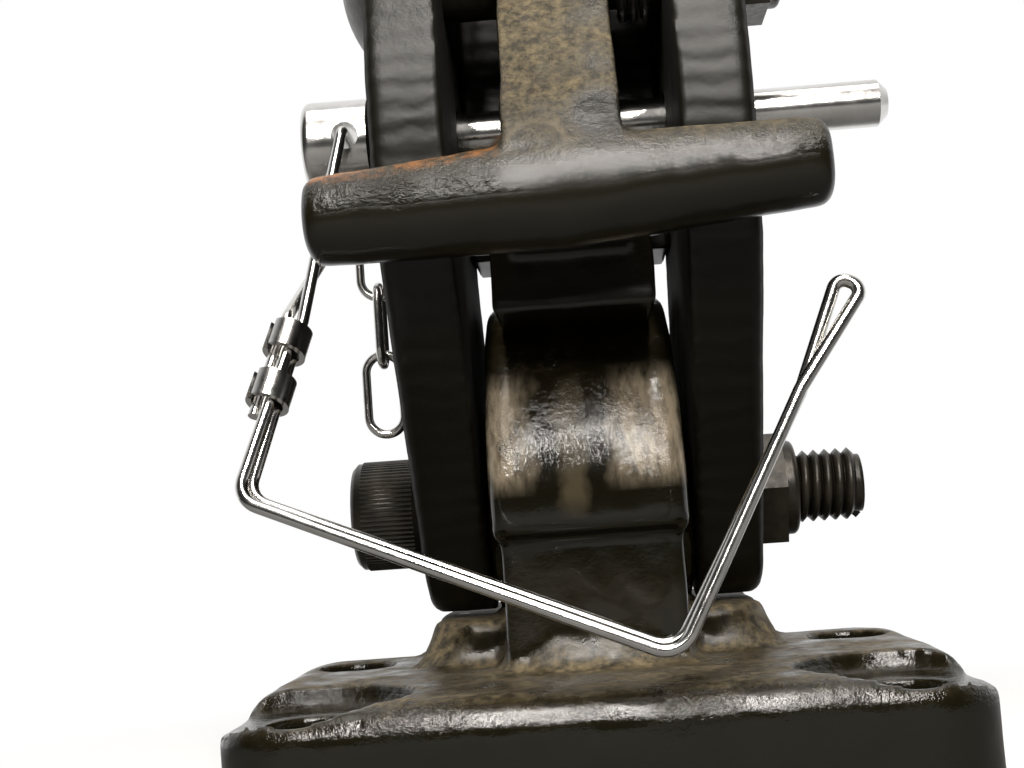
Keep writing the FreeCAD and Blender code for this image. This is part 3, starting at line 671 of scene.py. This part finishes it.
# Studio: a pale floor and a white sweep behind the object, a dimmer room in
# front of it, and three soft lamps above the camera.
floor_half = 3.0
floor_drop = 0.0005
floor_keeps_shadow_radius = 0.08
floor_white_radius = 0.16
floor_roughness = 0.95
floor_pale = (0.88, 0.88, 0.88, 1)
floor_dim = (0.14, 0.14, 0.14, 1)
sweep_from_y = -0.2
sweep_full_y = 0.4
room_front = 0.03
room_back = 1.0
room_fill = 0.22
white = (1, 1, 1, 1)
warm_white = (1.0, 0.96, 0.91)
strip_x = {"strip_left": -0.062, "strip_right": 0.078}
strip_y = -0.38
strip_z = 0.39
strip_size = (0.024, 0.42)
strip_power = 2.4
strip_target = (0, -0.01, 0.058)
overhead_place = (0.0, -0.12, 0.75)
overhead_size = (0.5, 0.4)
overhead_power = 1.7
overhead_target = (0, 0, 0.07)


def pale_floor_material():
    """Pale floor that takes the shadow near the object, white further out and behind, dim in front."""
    material, tree, shader = new_material("pale_floor")
    shader.inputs["Roughness"].default_value = floor_roughness
    glow = make_node(tree, "ShaderNodeEmission", Strength=1.0)
    place = tree.nodes.new("ShaderNodeTexCoord").outputs["Object"]
    rays = tree.nodes.new("ShaderNodeLightPath").outputs
    shade = blend(tree, rays["Is Camera Ray"], floor_dim, floor_pale)
    tree.links.new(shade, shader.inputs["Base Color"])
    distance = make_node(tree, "ShaderNodeVectorMath", "LENGTH")
    tree.links.new(place, distance.inputs[0])
    far = ramp(tree, distance.outputs["Value"], floor_keeps_shadow_radius, floor_white_radius)
    behind = ramp(tree, axes_of(tree, place)["Y"], 0.0, floor_white_radius)
    mirrored = combine(tree, "MULTIPLY", rays["Is Glossy Ray"], behind)
    viewed = combine(tree, "MAXIMUM", rays["Is Camera Ray"], mirrored)
    mix = tree.nodes.new("ShaderNodeMixShader")
    tree.links.new(combine(tree, "MULTIPLY", far, viewed), mix.inputs["Fac"])
    tree.links.new(shader.outputs["BSDF"], mix.inputs[1])
    tree.links.new(glow.outputs["Emission"], mix.inputs[2])
    tree.links.new(mix.outputs["Shader"], tree.nodes["Material Output"].inputs["Surface"])
    return material


def light_room():
    """White to the camera, bright behind and dim in front in reflections, an even low fill."""
    world = bpy.data.worlds.new("studio")
    scene.world = world
    world.use_nodes = True
    tree = world.node_tree
    background = tree.nodes["Background"]
    background.inputs["Color"].default_value = white
    rays = tree.nodes.new("ShaderNodeLightPath").outputs
    direction = axes_of(tree, tree.nodes.new("ShaderNodeTexCoord").outputs["Generated"])
    sweep_glow = ramp(tree, direction["Y"], sweep_from_y, sweep_full_y, room_front, room_back)
    glossy = combine(tree, "MULTIPLY", rays["Is Glossy Ray"], sweep_glow)
    straight = combine(tree, "MAXIMUM", rays["Is Camera Ray"], rays["Is Transmission Ray"])
    shown = combine(tree, "MAXIMUM", straight, glossy)
    diffuse = combine(tree, "MULTIPLY", rays["Is Diffuse Ray"], room_fill)
    tree.links.new(combine(tree, "MAXIMUM", shown, diffuse), background.inputs["Strength"])


def soft_lamp(name, place, target, size, power):
    """Rectangular lamp at a place, turned towards a target."""
    data = bpy.data.lights.new(name, "AREA")
    data.shape = "RECTANGLE"
    data.energy = power
    data.size, data.size_y = size
    data.color = warm_white
    lamp = bpy.data.objects.new(name, data)
    lamp.location = place
    lamp.rotation_euler = (Vector(target) - Vector(place)).to_track_quat("-Z", "Y").to_euler()
    scene.collection.objects.link(lamp)


floor_mesh = bpy.data.meshes.new("floor")
floor_corners = [(-floor_half, -floor_half, 0), (floor_half, -floor_half, 0),
                 (floor_half, floor_half, 0), (-floor_half, floor_half, 0)]
floor_mesh.from_pydata(floor_corners, [], [(0, 1, 2, 3)])
floor_mesh.materials.append(pale_floor_material())
floor = bpy.data.objects.new("floor", floor_mesh)
floor.location.z = -floor_drop
scene.collection.objects.link(floor)
light_room()
for name, x in strip_x.items():
    soft_lamp(name, (x, strip_y, strip_z), strip_target, strip_size, strip_power)
soft_lamp("overhead", overhead_place, overhead_target, overhead_size, overhead_power)

# Camera: it stands low in front of the latch, tilted up and a little rolled.
# Its focal length is given in pixels of a picture 1024 pixels wide.
camera_place = Vector((0.0, -0.244, 0.0436))
camera_yaw = -0.0455
camera_pitch = 0.0865
camera_roll = -0.07
camera_focal_px = 1500.0
camera_near = 0.01
picture_width_px = 1024.0
sensor_width_mm = 36.0
ahead = Vector((math.sin(camera_yaw) * math.cos(camera_pitch),
                math.cos(camera_yaw) * math.cos(camera_pitch), math.sin(camera_pitch)))
level_right = Vector((math.cos(camera_yaw), -math.sin(camera_yaw), 0))
level_up = level_right.cross(ahead)
right = level_right * math.cos(camera_roll) + level_up * math.sin(camera_roll)
up = level_up * math.cos(camera_roll) - level_right * math.sin(camera_roll)
lens = bpy.data.cameras.new("photo_camera")
lens.sensor_width = sensor_width_mm
lens.lens = camera_focal_px / picture_width_px * sensor_width_mm
lens.clip_start = camera_near
camera = bpy.data.objects.new("photo_camera", lens)
camera.matrix_world = Matrix((
    (right.x, up.x, -ahead.x, camera_place.x),
    (right.y, up.y, -ahead.y, camera_place.y),
    (right.z, up.z, -ahead.z, camera_place.z),
    (0, 0, 0, 1)))
scene.collection.objects.link(camera)
scene.camera = camera
scene.view_settings.view_transform = "Standard"
